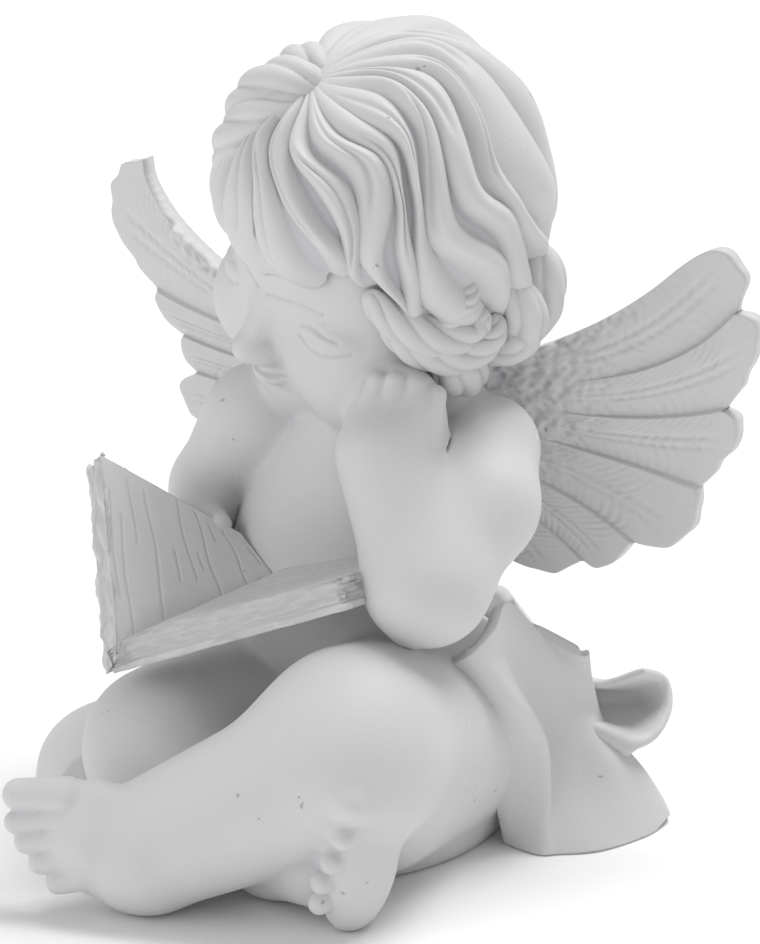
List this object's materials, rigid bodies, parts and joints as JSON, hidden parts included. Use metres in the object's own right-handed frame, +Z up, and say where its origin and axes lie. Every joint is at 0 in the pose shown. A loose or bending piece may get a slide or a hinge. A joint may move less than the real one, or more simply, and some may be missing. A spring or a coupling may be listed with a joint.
{
  "type": "reading cherub figurine",
  "caption": "White cast cherub with wings, seated cross-legged on a cloth, reading an open book and leaning its head on its hand.",
  "frame": {"origin": "on the flat underside, below the middle of the seat", "axes": "+Z up, the cherub faces -Y, its own left side is +X"},
  "size_m": [0.0915, 0.0791, 0.1021],
  "materials": {
    "angel_figurine": "matte white cast resin"
  },
  "bodies": {
    "root": {"angel_figurine": "angel_figurine"}
  },
  "joints": []
}
